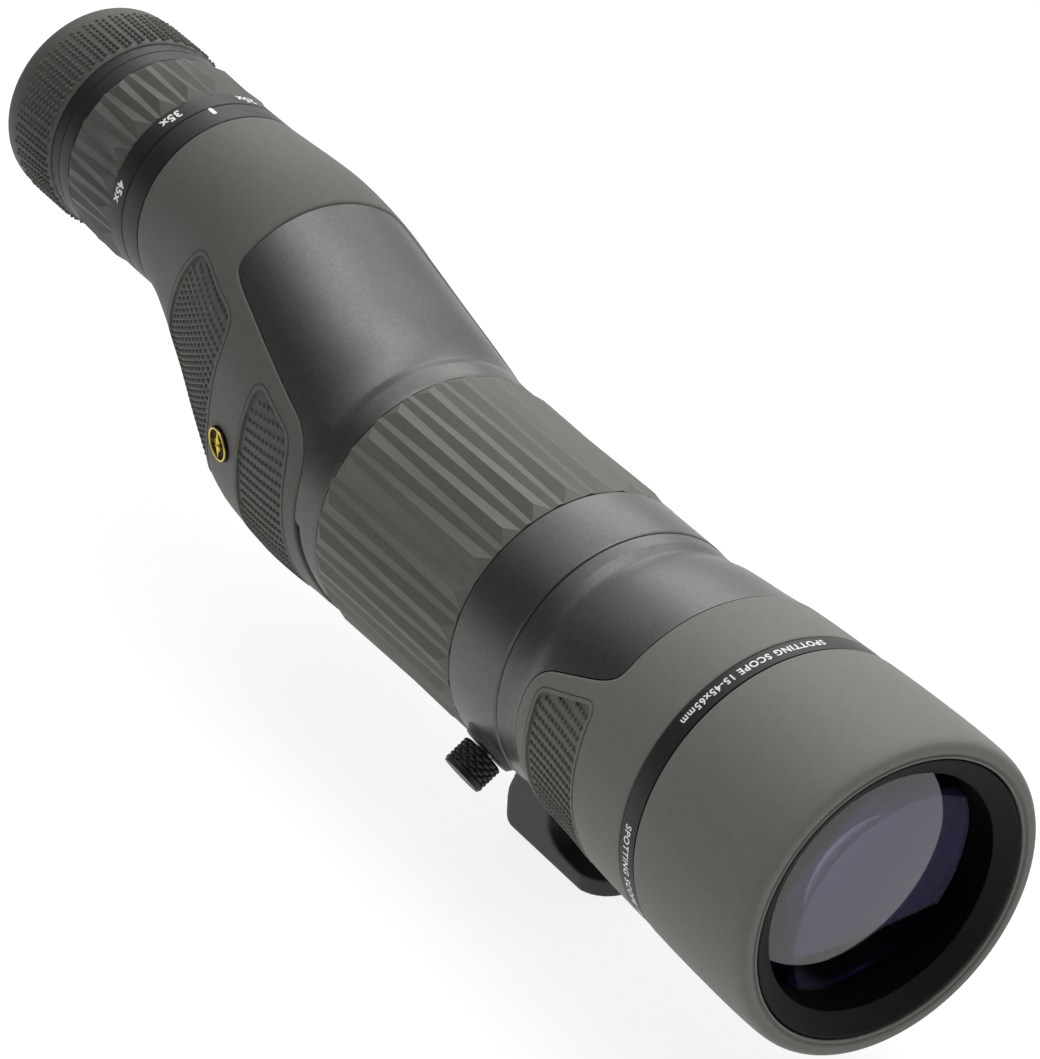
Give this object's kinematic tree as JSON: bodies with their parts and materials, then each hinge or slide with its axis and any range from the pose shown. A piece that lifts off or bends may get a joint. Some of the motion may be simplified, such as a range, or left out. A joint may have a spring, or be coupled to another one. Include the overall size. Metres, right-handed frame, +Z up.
{
  "type": "spotting scope",
  "caption": "Straight-bodied zoom spotting scope with rubber armour, a focus ring, a zoom eyepiece, a twist-up eyecup, a sliding sunshade and a rotating tripod collar with a foot.",
  "frame": {"origin": "on the flat mounting face of the tripod foot, in its middle plane, 8 mm in front of the tripod thread's axis", "axes": "+X forward along the optical axis towards the objective, +Z up at right angles to the mounting face, +Y to the user's left"},
  "size_m": [0.3759, 0.0886, 0.122],
  "materials": {
    "armour_rubber": "grey-green fine-grained rubber armour, matt",
    "grip_rubber": "grey-green rubber, moulded in long slanted facets",
    "eyecup_rubber": "soft grey-green rubber with rows of small dots",
    "knob_rubber": "black pebbled rubber",
    "body_metal": "dark grey satin enamel with a fine fleck on cast alloy",
    "black_metal": "black satin anodising",
    "matt_black": "flat black anodising against stray light",
    "lens_glass": "polished, with a violet anti-reflection coating",
    "prism_glass": "polished",
    "bright_steel": "turned",
    "pale_nylon": "low-friction nylon",
    "black_felt": "black felt",
    "gold_badge": "gold-coloured satin disc"
  },
  "bodies": {
    "collar": {"tripod_collar": "body_metal", "foot_thread_bush": "bright_steel", "collar_liner": "pale_nylon"},
    "lock_knob": {"lock_knob": "knob_rubber", "lock_knob_cap": "black_metal", "lock_screw": "bright_steel"},
    "brake_shoe": {"brake_shoe": "pale_nylon"},
    "scope_body": {"main_barrel": "body_metal", "collar_stop_ring": "black_metal", "front_armour": "armour_rubber", "objective_housing": "black_metal", "name_ring": "black_metal", "objective_front_ring": "matt_black", "objective_cell": "matt_black", "objective_front_lens": "lens_glass", "objective_spacer": "matt_black", "objective_rear_lens": "lens_glass", "objective_retainer": "matt_black", "prism_housing": "body_metal", "rear_armour": "armour_rubber", "badge": "gold_badge", "prism_plate": "matt_black", "rear_prism": "prism_glass", "front_prism": "prism_glass", "rear_prism_clip": "bright_steel", "front_prism_clip": "bright_steel", "eyepiece_tube": "matt_black", "index_ring": "black_metal", "field_stop": "matt_black", "eye_lens": "lens_glass", "eye_lens_retainer": "matt_black", "eyecup_stop_ring": "black_metal"},
    "sunshade": {"sunshade_tube": "black_metal", "sunshade_armour": "armour_rubber", "sunshade_felt_ring": "black_felt"},
    "focus_ring": {"focus_ring_core": "black_metal", "focus_grip": "grip_rubber"},
    "focus_group": {"focus_cell": "matt_black", "focus_lens": "lens_glass", "focus_pin": "bright_steel"},
    "zoom_ring": {"zoom_cam_sleeve": "bright_steel", "zoom_ring_body": "black_metal", "scale_ring": "black_metal", "zoom_grip": "grip_rubber"},
    "zoom_front_group": {"zoom_front_cell": "matt_black", "zoom_front_lens": "lens_glass", "zoom_front_pin": "bright_steel"},
    "zoom_rear_group": {"zoom_rear_cell": "matt_black", "zoom_rear_lens": "lens_glass", "zoom_rear_pin": "bright_steel"},
    "eyecup_guide": {"eyecup_guide_ring": "pale_nylon"},
    "eyecup": {"eyecup_sleeve": "black_metal", "eyecup": "eyecup_rubber"}
  },
  "joints": [
    {"name": "collar_turn", "type": "hinge", "parent": "collar", "child": "scope_body", "pos_m": [-0.0065, 0, 0.059], "axis": [1, 0, 0], "continuous": true},
    {"name": "lock_turn", "type": "hinge", "parent": "collar", "child": "lock_knob", "pos_m": [-0.0065, -0.03606, 0.03558], "axis": [0, -0.8387, -0.5446], "range_deg": [0, 180]},
    {"name": "brake_slide", "type": "slide", "parent": "collar", "child": "brake_shoe", "axis": [0, -0.8387, -0.5446], "range_m": [0, 0.0005]},
    {"name": "sunshade_slide", "type": "slide", "parent": "scope_body", "child": "sunshade", "axis": [1, 0, 0], "range_m": [0, 0.03]},
    {"name": "focus_turn", "type": "hinge", "parent": "scope_body", "child": "focus_ring", "pos_m": [-0.05, 0, 0.059], "axis": [1, 0, 0], "range_deg": [-150, 150]},
    {"name": "focus_travel", "type": "slide", "parent": "scope_body", "child": "focus_group", "axis": [1, 0, 0], "range_m": [-0.007, 0.007]},
    {"name": "zoom_turn", "type": "hinge", "parent": "scope_body", "child": "zoom_ring", "pos_m": [-0.21, 0, 0.0929], "axis": [1, 0, 0], "range_deg": [-70.7, 77]},
    {"name": "zoom_front_slide", "type": "slide", "parent": "scope_body", "child": "zoom_front_group", "axis": [1, 0, 0], "range_m": [-0.0041, 0.0041]},
    {"name": "zoom_rear_slide", "type": "slide", "parent": "scope_body", "child": "zoom_rear_group", "axis": [1, 0, 0], "range_m": [-0.0041, 0.0041]},
    {"name": "eyecup_lift", "type": "slide", "parent": "scope_body", "child": "eyecup_guide", "axis": [-1, 0, 0], "range_m": [0, 0.01]},
    {"name": "eyecup_twist", "type": "hinge", "parent": "eyecup_guide", "child": "eyecup", "pos_m": [-0.24, 0, 0.0929], "axis": [-1, 0, 0], "range_deg": [0, 100]}
  ],
  "couplings": [
    {"joint": "brake_slide", "follows": "lock_turn", "m_per_rad": 0.000159},
    {"joint": "focus_travel", "follows": "focus_turn", "m_per_rad": 0.002673},
    {"joint": "zoom_front_slide", "follows": "zoom_turn", "m_per_rad": 0.003},
    {"joint": "zoom_rear_slide", "follows": "zoom_turn", "m_per_rad": -0.003},
    {"joint": "eyecup_lift", "follows": "eyecup_twist", "m_per_rad": 0.00572}
  ]
}
